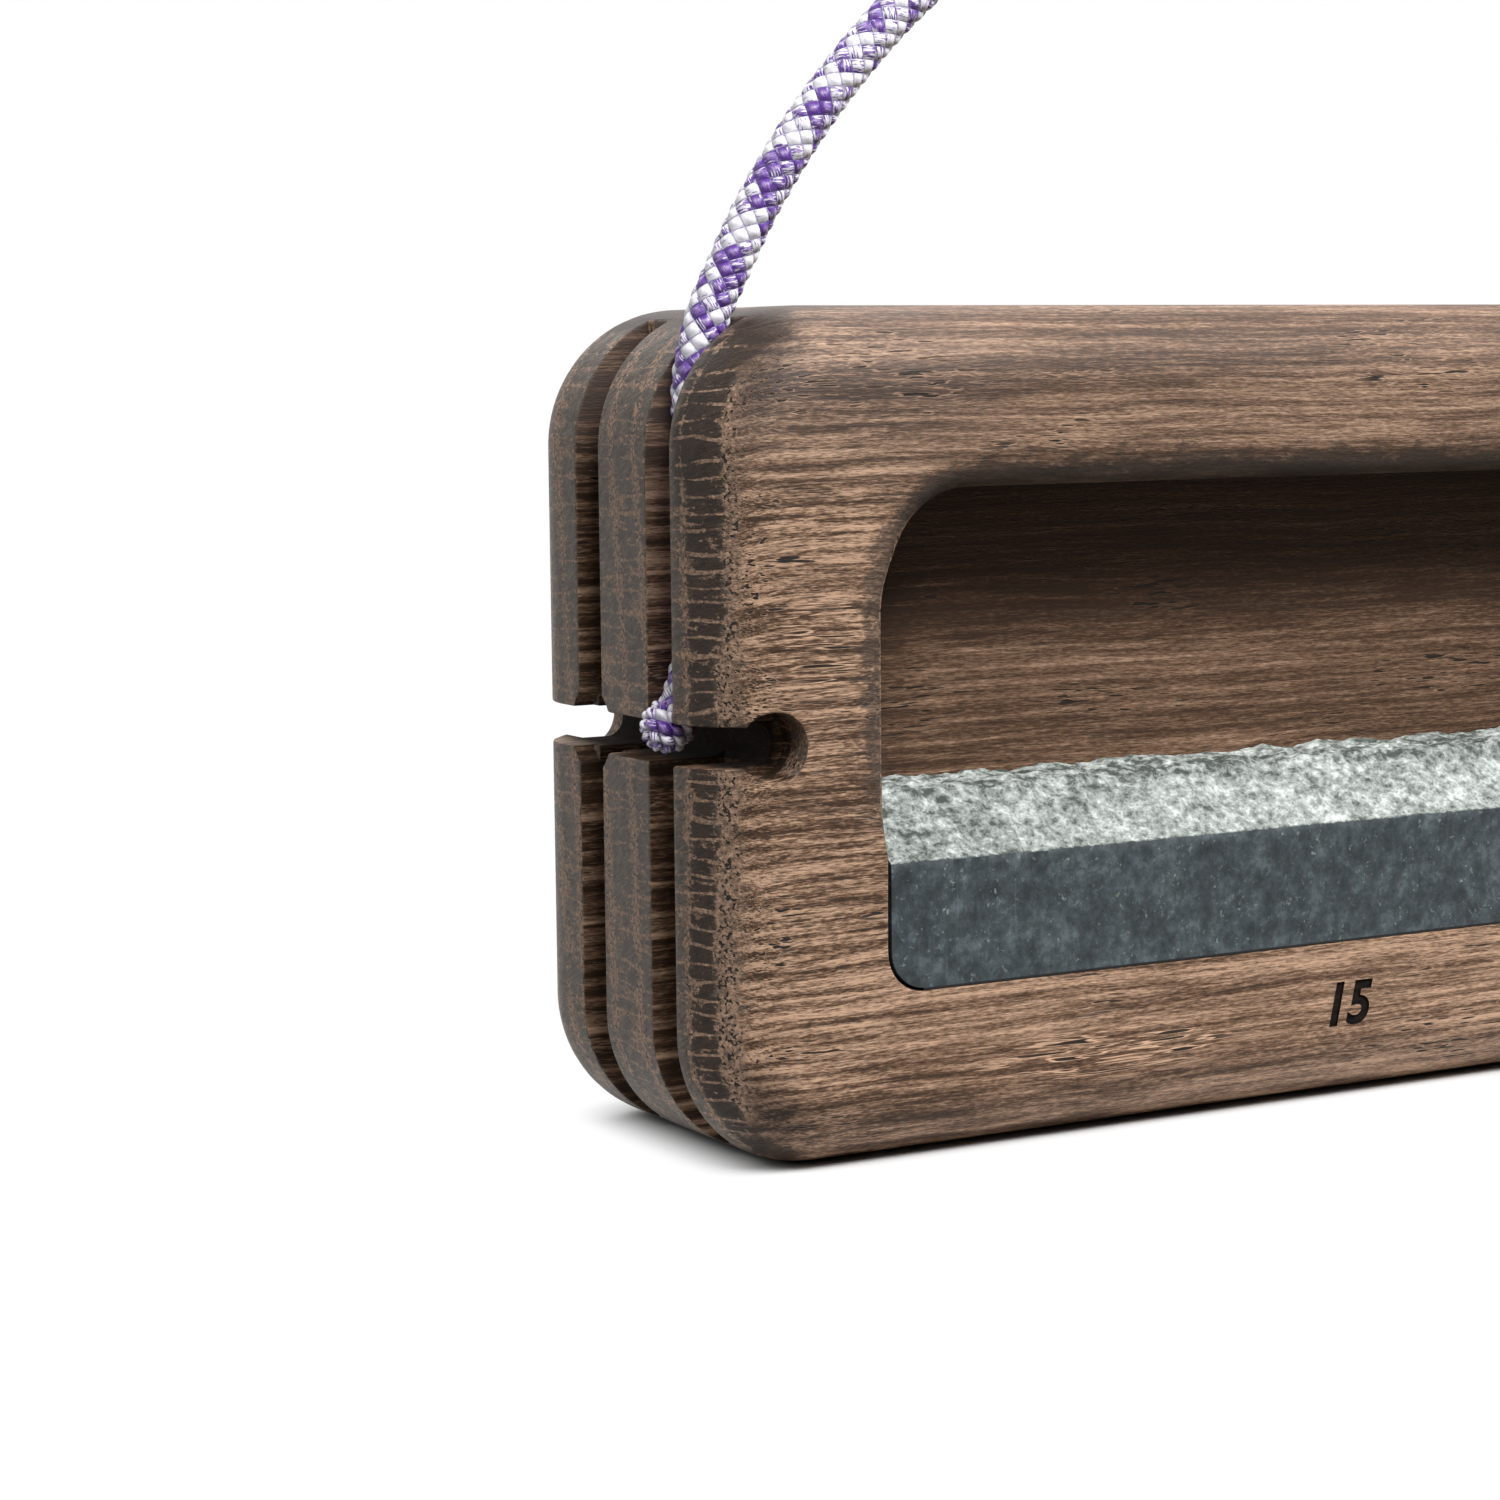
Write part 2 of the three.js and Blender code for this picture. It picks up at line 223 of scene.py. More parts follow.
def cylinder(centre, radius, depth, axis):
    """A closed cylinder about a point, along x or y."""
    bm = bmesh.new()
    turn = Matrix.Rotation(math.pi / 2, 4, "Y" if axis == "x" else "X")
    bmesh.ops.create_cone(
        bm,
        cap_ends=True,
        segments=48,
        radius1=radius,
        radius2=radius,
        depth=depth,
        matrix=Matrix.Translation(centre) @ turn,
    )
    return bm


def turned(bm):
    """The same mesh, turned half round to face the rear."""
    bmesh.ops.rotate(bm, verts=bm.verts, cent=(0, 0, 0), matrix=Matrix.Rotation(math.pi, 3, "Z"))
    return bm


def mirrored(bm):
    """The same mesh, moved to the board's other end."""
    bmesh.ops.scale(bm, vec=(-1, 1, 1), verts=bm.verts)
    bmesh.ops.reverse_faces(bm, faces=bm.faces)
    return bm


def closed(bm):
    """The same mesh with its seam joined, its openings filled and its faces turned outwards."""
    bmesh.ops.remove_doubles(bm, verts=bm.verts, dist=MERGED)
    bmesh.ops.holes_fill(bm, edges=[e for e in bm.edges if e.is_boundary], sides=0)
    bmesh.ops.recalc_face_normals(bm, faces=bm.faces)
    return bm


def cut(piece, spaces, material=None):
    """Takes the spaces out of a piece, with the material on the faces that this leaves."""
    cutters = [finished(f"cutter_{index}", bm, material) for index, bm in enumerate(spaces)]
    for cutter in cutters:
        modifier = piece.modifiers.new(cutter.name, "BOOLEAN")
        modifier.object = cutter
        modifier.operation = "DIFFERENCE"
        modifier.solver = "EXACT"
        modifier.material_mode = "TRANSFER" if material else "INDEX"
    depsgraph = bpy.context.evaluated_depsgraph_get()
    mesh = bpy.data.meshes.new_from_object(piece.evaluated_get(depsgraph))
    piece.modifiers.clear()
    old = piece.data
    piece.data = mesh
    mesh.name = piece.name
    bpy.data.meshes.remove(old)
    for cutter in cutters:
        data = cutter.data
        bpy.data.objects.remove(cutter)
        bpy.data.meshes.remove(data)


# Board
def rounded_block(s):
    bm = box_between(board_low, board_high)
    corners = [e for e in bm.edges if depth_of(e) > DEPTH / 2]
    round_edges(bm, corners, s.corner, 24)
    rims = [e for e in bm.edges if depth_of(e) < DEPTH / 2]
    round_edges(bm, rims, s.rounding, 14)
    return bm


def pocket_space(s, depth, fade_start):
    """One pocket, opened from the front, with its mouth flaring over the rounding."""
    half = END - s.pocket_side
    top = HEIGHT - s.top_rail
    bm = box_between((-half, FRONT - OVERRUN, s.bottom_rail), (half, FRONT + depth, top))
    for rise, radius, segments in ((s.bottom_rail, s.pocket_bottom, 8), (top, s.pocket_top, 20)):
        inward = [e for e in bm.edges if depth_of(e) > depth / 2]
        edges = [e for e in inward if abs(e.verts[0].co.z - rise) < MERGED]
        round_edges(bm, edges, radius, segments)
    steps = 14
    shares = [i / steps for i in range(steps + 1)]
    start = FRONT - s.mouth / 100
    planes = [((0, start + s.mouth * (1 - math.cos(t * math.pi / 2)), 0), (0, 1, 0)) for t in shares]
    planes += [((0, 0, fade_start + t * s.mouth_fade), (0, 0, 1)) for t in shares]
    for point, normal in planes:
        geom = bm.verts[:] + bm.edges[:] + bm.faces[:]
        bmesh.ops.bisect_plane(bm, geom=geom, dist=1e-7, plane_co=point, plane_no=normal)
    bmesh.ops.triangulate(bm, faces=bm.faces)
    core_x = half - s.pocket_top
    core_z = top - s.pocket_top
    for v in bm.verts:
        share = smooth((v.co.z - fade_start) / s.mouth_fade)
        middle = Vector((min(max(v.co.x, -core_x), core_x), 0, min(v.co.z, core_z)))
        out = Vector((v.co.x, 0, v.co.z)) - middle
        if out.length > MERGED:
            out.normalize()
            reach = s.mouth_side + (s.mouth - s.mouth_side) * smooth(1.6 * out.z - 0.6)
            inward = min(max((v.co.y - start) / reach, 0), 1)
            v.co += out * s.mouth * (1 - math.sin(math.acos(1 - inward))) * share
    return bm


def smooth(t):
    t = min(max(t, 0), 1)
    return t * t * (3 - 2 * t)


def end_spaces(s):
    """The grooves, the slot, its seats and the relief at the left end."""
    outside = -END - OVERRUN
    slot_end = -END + s.slot_depth
    spaces = []
    for middle in (FRONT + s.front_groove, -FRONT - s.rear_groove):
        low = (outside, middle - s.groove_width / 2, -OVERRUN)
        high = (-END + s.groove_depth, middle + s.groove_width / 2, HEIGHT + OVERRUN)
        spaces.append(box_between(low, high))
    slot = box_between(
        (outside, FRONT - OVERRUN, s.slot_rise - s.slot_height / 2),
        (slot_end, -FRONT + OVERRUN, s.slot_rise + s.slot_height / 2),
    )
    inner = [e for e in slot.edges if min(v.co.x for v in e.verts) > -END]
    inner = [e for e in inner if depth_of(e) > DEPTH / 2]
    round_edges(slot, inner, s.slot_height * 0.47, 10)
    spaces.append(slot)
    centre = slot_end - s.slot_height / 2
    depth = s.seat_depth + OVERRUN
    for side in (-1, 1):
        y = side * (-FRONT - s.seat_depth + depth / 2)
        spaces.append(cylinder((centre, y, s.slot_rise), s.seat / 2, depth, "y"))
    depth = s.relief_depth + OVERRUN
    place = (-END + s.relief_depth - depth / 2, -FRONT - s.rear_groove, s.slot_rise)
    spaces.append(cylinder(place, s.relief / 2, depth, "x"))
    return spaces


def break_edges(piece, s, flare_start):
    """Takes the sharpness off the board's outward edges, but not off marks, slots or flared mouths."""
    deep_x, margin = END - 0.0035, 0.001
    mouth_x, mouth_z = END - s.pocket_side + s.mouth + margin, flare_start - 0.0003

    def inside(v):
        x, y, z = abs(v.co.x), abs(v.co.y), v.co.z
        in_slot = x < deep_x and y < -FRONT - margin and abs(z - s.slot_rise) < s.seat * 0.6
        return in_slot or (x < mouth_x and z > mouth_z)

    bm = bmesh.new()
    bm.from_mesh(piece.data)
    bmesh.ops.dissolve_limit(bm, angle_limit=math.radians(0.3), verts=bm.verts, edges=bm.edges)
    bmesh.ops.remove_doubles(bm, verts=bm.verts, dist=2e-6)
    bmesh.ops.connect_verts_concave(bm, faces=bm.faces)
    sharp = [
        e
        for e in bm.edges
        if len(e.link_faces) == 2
        and not any(face.material_index for face in e.link_faces)
        and not all(inside(v) for v in e.verts)
        and e.is_convex
        and e.calc_face_angle() > BROKEN
    ]
    round_edges(bm, sharp, s.arris, 2)
    bm.to_mesh(piece.data)
    bm.free()
    shade_smooth(piece.data)


def digits(text, s):
    """Plain digits to burn into the front's lower rail."""
    curve = bpy.data.curves.new("digits", "FONT")
    curve.body = text
    curve.size = s.digits
    curve.shear = 0.22
    curve.align_x = "CENTER"
    curve.align_y = "CENTER"
    curve.offset = 0.00026
    curve.extrude = 2 * s.burn_depth
    curve.resolution_u = 6
    shape = linked("digits", curve)
    depsgraph = bpy.context.evaluated_depsgraph_get()
    mesh = bpy.data.meshes.new_from_object(shape.evaluated_get(depsgraph))
    bpy.data.objects.remove(shape)
    bpy.data.curves.remove(curve)
    bm = bmesh.new()
    bm.from_mesh(mesh)
    bpy.data.meshes.remove(mesh)
    bmesh.ops.remove_doubles(bm, verts=bm.verts, dist=MERGED)
    bmesh.ops.recalc_face_normals(bm, faces=bm.faces)
    upright = Matrix.Rotation(math.pi / 2, 4, "X")
    bm.transform(Matrix.Translation((0, FRONT - s.burn_depth, s.digits_rise)) @ upright)
    return bm


# Stone
def stone_rows(sizes, board, depth):
    """The bar's section from the front foot round to it again, each point with its share of roughness."""
    foot = board.bottom_rail + sizes.glue
    back = FRONT + depth - sizes.glue
    crease = foot + sizes.face
    ridge = Vector((FRONT + sizes.slope_run, crease + sizes.slope_rise))
    corners = [
        (Vector((FRONT, foot)), 0, 12),
        (Vector((FRONT, crease)), 0.12, 34),
        (ridge, 1, 26),
        (Vector((back, ridge.y + sizes.back_rise)), 1, 4),
        (Vector((back, foot)), 0, 4),
        (Vector((FRONT, foot)), 0, 0),
    ]
    rows = []
    for (a, rough_a, count), (b, rough_b, _) in zip(corners, corners[1:]):
        for i in range(count):
            t = i / count
            rows.append((a.lerp(b, t), rough_a + (rough_b - rough_a) * min(4 * t, 1)))
    rows.append((corners[-1][0], 0))
    return rows


def broken(x, y, z, seed):
    """How far broken stone stands out at a place, as a share of its roughness."""
    p = Vector((x, y, z)) / 0.001
    chips = noise.noise(p / 5.1 + Vector((seed, 0, 0)))
    lumps = noise.noise(p / 2.0 + Vector((0, seed, 3)))
    grains = noise.noise(p / 0.85 + Vector((5, 0, seed)))
    steps = abs(noise.noise(p / 3.1 + Vector((seed, seed, 9))))
    return 0.85 * chips + 0.55 * lumps + 0.30 * grains - 0.5 * steps + 0.1


def stone_bar(sizes, board, depth, seed):
    half = END - board.pocket_side - sizes.glue
    radius = board.pocket_bottom - sizes.glue
    foot = board.bottom_rail + sizes.glue
    crease = foot + sizes.face
    ends = [half - radius + radius * math.sin(i / 12 * math.pi / 2) for i in range(13)]
    middle = 2 * (half - radius)
    count = 300
    places = [-x for x in reversed(ends)]
    places += [-half + radius + middle * i / count for i in range(1, count)]
    places += ends
    rows = stone_rows(sizes, board, depth)
    bm = bmesh.new()
    bmesh.ops.create_grid(bm, x_segments=len(places) - 1, y_segments=len(rows) - 1, size=0.5)
    for v in bm.verts:
        x = places[round((v.co.x + 0.5) * (len(places) - 1))]
        point, share = rows[round((v.co.y + 0.5) * (len(rows) - 1))]
        y, z = point
        if share:
            stand = sizes.rough * share * broken(x, y, z, seed)
            y -= 0.35 * stand * (1 if y > FRONT + 0.0002 else 0)
            z += stand
        over = max(abs(x) - half + radius, 0)
        lift = radius - math.sqrt(max(radius * radius - over * over, 0))
        if lift and z < crease:
            z = foot + lift + (z - foot) * (crease - foot - lift) / (crease - foot)
        v.co = (x, min(max(y, FRONT), FRONT + depth - sizes.glue), z)
    bmesh.ops.remove_doubles(bm, verts=bm.verts, dist=MERGED)
    bmesh.ops.edgenet_fill(bm, edges=[e for e in bm.edges if e.is_boundary])
    bmesh.ops.recalc_face_normals(bm, faces=bm.faces)
    return bm


# Cord
def smooth_line(points, step):
    """Points a step apart on a smooth curve through the given ones."""
    points = [Vector(p) for p in points]
    points = [2 * points[0] - points[1], *points, 2 * points[-1] - points[-2]]
    line = []
    parts = 40
    for p0, p1, p2, p3 in zip(points, points[1:], points[2:], points[3:]):
        t0 = 0
        t1 = t0 + (p1 - p0).length ** 0.5
        t2 = t1 + (p2 - p1).length ** 0.5
        t3 = t2 + (p3 - p2).length ** 0.5
        for i in range(parts):
            t = t1 + (t2 - t1) * i / parts
            a1 = p0.lerp(p1, (t - t0) / (t1 - t0))
            a2 = p1.lerp(p2, (t - t1) / (t2 - t1))
            a3 = p2.lerp(p3, (t - t2) / (t3 - t2))
            b1 = a1.lerp(a2, (t - t0) / (t2 - t0))
            b2 = a2.lerp(a3, (t - t1) / (t3 - t1))
            line.append(b1.lerp(b2, (t - t1) / (t2 - t1)))
    line.append(points[-2])
    reach = [0]
    for a, b in zip(line, line[1:]):
        reach.append(reach[-1] + (b - a).length)
    count = round(reach[-1] / step)
    even = []
    k = 0
    for i in range(count + 1):
        s = reach[-1] * i / count
        while k < len(line) - 2 and reach[k + 1] < s:
            k += 1
        even.append(line[k].lerp(line[k + 1], (s - reach[k]) / (reach[k + 1] - reach[k])))
    return even, reach[-1]


def cord_line():
    y = FRONT + bpy.context.scene.hangboard_board.front_groove
    left = [Vector((-END + x, y, z)) for x, z in RUN + ARCH]
    right = [Vector((-p.x, p.y, p.z)) for p in reversed(left[:-1])]
    return smooth_line(left + right, CORD_STEP)


def stitch(around, along, carriers):
    """The height of the braid, from 0 to 1, at a share of the way round and a number of stitches along."""
    a = carriers * around + along
    b = carriers * around - along
    i, j = math.floor(a), math.floor(b)
    across, lengthways = (a - i, b - j) if (i + j) % 2 == 0 else (b - j, a - i)
    return math.sin(math.pi * across) ** 0.8 * math.sin(math.pi * lengthways) ** 0.45


def braided_skin(bm, place, columns, rows, carriers, relief, stitches):
    """Turns a fresh grid into a skin of stitches; place gives a point and the way outwards."""
    layer = bm.loops.layers.uv.new("braid")
    at = {}
    for v in bm.verts:
        i = round((v.co.x + 0.5) * columns)
        j = round((v.co.y + 0.5) * rows)
        at[v] = (i / columns, j / rows)
    for v, (around, along) in at.items():
        point, out = place(around, along)
        height = stitch(around % 1, along * stitches, carriers)
        v.co = point + out * relief * (height - 0.9)
    for face in bm.faces:
        for loop in face.loops:
            around, along = at[loop.vert]
            loop[layer].uv = (around * carriers, along * stitches)


def sling(s):
    line, total = cord_line()
    rows = len(line) - 1
    columns = 48
    bm = bmesh.new()
    bmesh.ops.create_grid(bm, x_segments=columns, y_segments=rows, size=0.5)

    def place(around, along):
        k = round(along * rows)
        ahead = (line[min(k + 1, rows)] - line[max(k - 1, 0)]).normalized()
        side = Vector((0, 1, 0))
        other = ahead.cross(side)
        angle = 2 * math.pi * around
        out = side * math.cos(angle) + other * math.sin(angle)
        return line[k] + out * s.diameter / 2, out

    stitches = 2 * round(total / s.stitch / 2)
    braided_skin(bm, place, columns, rows, s.carriers, s.relief, stitches)
    return closed(bm), line, total


def stopper_knot(s, board, side):
    """A ball of tucked cord, drawn into the mouth of the slot."""
    columns, rows = 112, 72
    bm = bmesh.new()
    bmesh.ops.create_grid(bm, x_segments=columns, y_segments=rows, size=0.5)
    groove = FRONT + board.front_groove
    centre = Vector((-END + s.knot_inset, groove, s.knot_rise))
    radii = Vector((s.knot_width / 2, s.knot_width / 2, s.knot_height / 2))
    gap = 0.0003
    wall = board.groove_width / 2 - gap
    slot_top = board.slot_rise + board.slot_height / 2 - gap
    slot_floor = board.slot_rise - board.slot_height / 2 + gap

    tilt = Matrix.Rotation(math.radians(38), 3, "Y") @ Matrix.Rotation(math.radians(24), 3, "X")
    pole = 0.04

    def place(around, along):
        polar = pole + along * (math.pi - 2 * pole)
        turn = 2 * math.pi * around
        level = math.sin(polar)
        out = tilt @ Vector((level * math.cos(turn), level * math.sin(turn), math.cos(polar)))
        return centre + out * radii, out

    braided_skin(bm, place, columns, rows, carriers=6, relief=2.1 * s.relief, stitches=5)
    for v in bm.verts:
        if v.co.x > -END - gap and not slot_floor < v.co.z < slot_top:
            v.co.y = min(max(v.co.y, groove - wall), groove + wall)
    closed(bm)
    return mirrored(bm) if side > 0 else bm


# Materials

# The open rings of the end grain from the front to the rear, as share of the depth and openness
RINGS = [(0.0, 0.5), (0.03, 0.5), (0.042, 1.0), (0.070, 1.0), (0.082, 0.0), (0.138, 0.0), (0.148, 0.9)]
RINGS += [(0.162, 0.1), (0.300, 0.1), (0.322, 0.9), (0.348, 0.1), (0.420, 0.1), (0.442, 1.0), (0.472, 0.1)]
RINGS += [(0.552, 0.1), (0.580, 1.0), (0.610, 0.1), (0.715, 0.1), (0.745, 0.9), (0.770, 0.1), (0.810, 0.1)]
RINGS += [(0.838, 0.7), (0.86, 0.0), (0.91, 0.0), (0.925, 1.0), (0.955, 1.0), (0.98, 0.5)]
# Its dark zones, in the same way
HEARTS = [(0.0, 0.0), (0.070, 0.0), (0.085, 1.0), (0.135, 1.0), (0.152, 0.0), (0.30, 0.0), (0.40, 0.25)]
HEARTS += [(0.50, 0.0), (0.85, 0.0), (0.865, 1.0), (0.915, 1.0), (0.93, 0.0)]
# How violet each strand of the cord is, for the two directions that they are laid in
VIOLET_UP = (0.9, 0.7, 0.2, 0.8, 0.1, 0.2)
VIOLET_DOWN = (0.1, 0.8, 0.2, 0.3, 0.9, 0.1)
# Where the long sides are torn: middle along and up, half width and half height, in metres
TORN = [(-0.0755, 0.0620, 0.0070, 0.0085), (-0.0350, 0.0105, 0.0260, 0.0042)]


def tint(colour, share):
    return tuple(x * share for x in colour)


class Nodes:
    """A node tree, with short names for what is worked out in it."""

    def __init__(self, tree):
        self.tree = tree
        tree.nodes.clear()

    def node(self, kind, inputs=None, **settings):
        made = self.tree.nodes.new("ShaderNode" + kind)
        for key, value in settings.items():
            setattr(made, key, value)
        for key, value in (inputs or {}).items():
            self.put(made.inputs[key], value)
        return made

    def put(self, socket, value):
        if isinstance(value, bpy.types.NodeSocket):
            self.tree.links.new(value, socket)
        elif value is not None:
            if socket.type == "RGBA" and len(value) == 3:
                value = (*value, 1)
            socket.default_value = value

    def sum(self, kind, a, b=None, c=None):
        return self.node("Math", {0: a, 1: b, 2: c}, operation=kind).outputs[0]

    def times(self, first, *others):
        for other in others:
            first = self.sum("MULTIPLY", first, other)
        return first

    def most(self, first, *others):
        for other in others:
            first = self.sum("MAXIMUM", first, other)
        return first

    def less(self, a, b):
        return self.sum("SUBTRACT", a, b)

    def add(self, value, weight, onto):
        return self.sum("MULTIPLY_ADD", value, weight, onto)

    def weighed(self, onto, *pairs):
        """A value with each mask added to it at its weight."""
        for mask, weight in pairs:
            onto = self.add(mask, weight, onto)
        return onto

    def about(self, value, weight, onto):
        """A value with a pattern added to it that swings about one half."""
        return self.add(self.less(value, 0.5), weight, onto)

    def rest(self, share):
        return self.less(1.0, share)

    def size(self, value):
        return self.sum("ABSOLUTE", value)

    def away(self, value, middle):
        return self.size(self.less(value, middle))

    def past_corner(self, value_a, edge_a, value_b, edge_b):
        """The distance from a corner, where both values lie past their edges, or from the one that does."""
        a = self.most(self.less(value_a, edge_a), 0.0)
        b = self.most(self.less(value_b, edge_b), 0.0)
        return self.sum("SQRT", self.add(a, a, self.times(b, b)))

    def band(self, value, low, high):
        """Rises from 0 to 1 between two values, or falls where the first is the higher."""
        inputs = {"Value": value, "From Min": low, "From Max": high}
        return self.node("MapRange", inputs, interpolation_type="SMOOTHSTEP").outputs[0]

    def at(self, source="Object"):
        return self.node("TexCoord").outputs[source]

    def split(self, vector):
        outputs = self.node("SeparateXYZ", {"Vector": vector}).outputs
        return outputs["X"], outputs["Y"], outputs["Z"]

    def join(self, x, y, z=None):
        return self.node("CombineXYZ", {0: x, 1: y, 2: z}).outputs[0]

    def vector(self, kind, a, b):
        return self.node("VectorMath", {0: a, 1: b}, operation=kind).outputs[0]

    def cloud(self, at, scale=None, detail=2.0, roughness=0.5, output="Fac"):
        """Noise about one half, with its number of features per metre along each axis."""
        if scale:
            at = self.vector("MULTIPLY", at, scale)
        inputs = {"Vector": at, "Scale": 1.0, "Detail": detail, "Roughness": roughness}
        return self.node("TexNoise", inputs).outputs[output]

    def cells(self, at, feature="F1"):
        return self.node("TexVoronoi", {"Vector": at, "Scale": 1.0}, feature=feature).outputs["Distance"]

    def mix(self, share, a, b, blend="MIX"):
        inputs = {0: share, 6: a, 7: b}
        return self.node("Mix", inputs, data_type="RGBA", blend_type=blend).outputs[2]

    def ramp(self, value, stops, mode="LINEAR"):
        made = self.node("ValToRGB", {"Fac": value})
        made.color_ramp.interpolation = mode
        elements = made.color_ramp.elements
        while len(elements) < len(stops):
            elements.new(0.5)
        for element, (position, colour) in zip(elements, stops):
            element.position = position
            element.color = (*colour, 1)
        return made.outputs["Color"]

    def levels(self, value, stops, mode="LINEAR"):
        """A ramp between plain numbers."""
        return self.ramp(value, [(position, (level, level, level)) for position, level in stops], mode)

    def tinted(self, value, colour, *stops):
        """A ramp between shares of one colour."""
        return self.ramp(value, [(position, tint(colour, share)) for position, share in stops])

    def seen(self):
        """1 for what is looked at, also through or by a glossy surface, and 0 for gathered light."""
        rays = self.node("LightPath").outputs
        return self.most(rays["Is Camera Ray"], rays["Is Glossy Ray"], rays["Is Transmission Ray"])


class Finish(Nodes):
    """A material, built from the coordinates to the shader."""

    def __init__(self, name):
        self.material = bpy.data.materials.new(name)
        self.material.use_nodes = True
        super().__init__(self.material.node_tree)
        self.shader = self.node("BsdfPrincipled")
        self.node("OutputMaterial", {"Surface": self.shader.outputs["BSDF"]})

    def bump(self, height, distance, strength):
        inputs = {"Height": height, "Distance": distance, "Strength": strength}
        return self.node("Bump", inputs).outputs["Normal"]

    def shine(self, colour, normal=None, **values):
        self.put(self.shader.inputs["Base Color"], colour)
        self.put(self.shader.inputs["Normal"], normal)
        for key, value in values.items():
            self.put(self.shader.inputs[key.replace("_", " ").title().replace("Ior", "IOR")], value)
        return self.material


def wood(c, s):
    """Dark oiled hardwood with its grain along X: streaks and pores on the long sides, rings on the ends."""
    f = Finish("oiled_wood")
    at = f.at()
    bend = f.vector("SUBTRACT", f.cloud(at, (22, 30, 34), output="Color"), (0.5, 0.5, 0.5))
    grain = f.vector("ADD", at, f.vector("MULTIPLY", bend, (0, 0.0030, 0.0022)))
    length_x, across, rise = f.split(grain)
    here_x, here_y, here_z = f.split(at)
    along, outer = f.size(length_x), f.size(here_x)
    side = END - s.pocket_side

    # Streaks, which lean with the depth so that no side shows them end on
    risen = f.add(f.sum("ADD", here_y, DEPTH / 2), 0.5, rise)
    leaning = f.join(length_x, across, risen)
    wave = f.sum("SINE", f.add(rise, 3060.0, f.times(f.cloud(grain, (26, 90, 240)), 11.0)))
    ends = f.band(along, side - 0.002, side + 0.004)
    clear = f.band(f.cloud(leaning, (14, 45, 60), 1.0), 0.46, 0.62)
    clear = f.add(f.most(clear, ends), 0.10, 0.05)
    bands = f.cloud(leaning, (20, 110, 820), 2.0, 0.55)
    broad = f.cloud(leaning, (12, 70, 75))
    streak = f.cloud(leaning, (90, 500, 2500), 2.0, 0.62)
    fine = f.cloud(grain, (800, 3400, 5200), 2.0, 0.7)
    tone = f.about(streak, 1.5, f.about(fine, 1.7, f.add(wave, clear, 0.54)))
    tone = f.about(bands, 1.2, f.about(broad, 0.9, tone))

    # The pocket, the grooves, the posts and the rails, each with its own depth of tone; the darkening of the
    # pocket, the grooves and the top rail is painted shade, and the posts go darker towards the bottom
    core = f.band(f.size(across), 0.0185, 0.0120)
    pocket_rise = f.less(f.band(rise, 0.017, 0.020), f.band(rise, 0.080, 0.084))
    inner = f.times(core, f.rest(ends), pocket_rise)
    grooved = f.times(core, ends)
    post = f.times(f.band(along, 0.060, 0.072), f.rest(core))
    top, foot = f.band(rise, 0.076, 0.082), f.band(rise, 0.022, 0.016)
    contrast = f.weighed(1.0, (grooved, -0.15), (inner, -0.40), (top, -0.28), (foot, -0.16), (post, 0.26))
    stripes = f.less(f.cloud(at, (15, 60, 900), 3.0, 0.6), 0.52)
    # Painted shadow of the top rail on the pocket's back wall, with a ragged edge, and painted shade near
    # the pocket's sides
    shaded = f.add(f.band(rise, 0.0640, 0.0700), -1.3, 2.4)
    shaded = f.times(shaded, f.band(f.about(bands, 0.014, rise), 0.0570, 0.0625))
    shaded = f.sum("ADD", shaded, f.times(f.band(along, 0.050, 0.067), 2.8))
    tone = f.weighed(
        f.about(tone, contrast, 0.5),
        (post, f.add(f.band(rise, 0.032, 0.056), 0.12, -0.07)),
        (f.times(grooved, stripes), 2.6),
        # Painted shade over the whole pocket, deeper in those painted shadows
        (inner, f.add(shaded, -0.12, -0.20)),
        # Painted shade in the grooves
        (grooved, -0.14),
        # Painted shade under the top rail, where the pocket's mouth rounds over
        (f.band(f.away(rise, 0.0800), 0.0055, 0.0015), -0.15),
        (f.times(f.band(rise, 0.022, 0.008), f.band(along, 0.035, 0.062)), -0.07),
        # Painted shade on the crest of the top rail, toning down the lamp's highlight there
        (f.times(f.band(rise, 0.087, 0.095), f.band(along, 0.050, 0.015)), -0.08),
        (f.times(f.band(rise, 0.083, 0.091), f.band(along, 0.054, 0.070)), -0.17),
        # Painted shade over the whole top rail, toning down the lamp's light on it
        (f.band(rise, 0.074, 0.096), -0.14),
    )
    stops = [(0.02, tint(c.wood_dark, 0.45)), (0.26, c.wood_dark), (0.50, c.wood_mid), (0.76, c.wood_light)]
    long_grain = f.ramp(tone, [*stops, (1.0, tint(c.wood_light, 1.45))])

    # A pale painted sheen on the top rail, then pores with light lips, and splinters where the wood is torn
    painted_sheen = f.times(f.band(rise, 0.074, 0.092), f.add(f.band(along, 0.040, 0.066), 0.10, 0.08))
    pores = f.cloud(grain, (240, 2600, 2600), 1.0)
    where = f.band(f.cloud(grain, (30, 120, 105), 1.0), 0.50, 0.62)
    open_pore = f.times(f.band(pores, 0.61, 0.67), f.add(where, 0.90, 0.10))
    lip = f.times(f.band(pores, 0.55, 0.60), where, f.add(inner, -0.4, 0.5))
    torn = 0.0
    for x, z, wide, high in TORN:
        aside = f.times(f.less(here_x, x), 1 / wide)
        above = f.times(f.less(here_z, z), 1 / high)
        reach = f.add(aside, aside, f.times(above, above))
        torn = f.most(torn, f.band(reach, 1.0, 0.2))
    splinter = f.about(f.cloud(grain, (110, 2300, 2500), 1.0), 1.0, f.times(torn, 0.10))
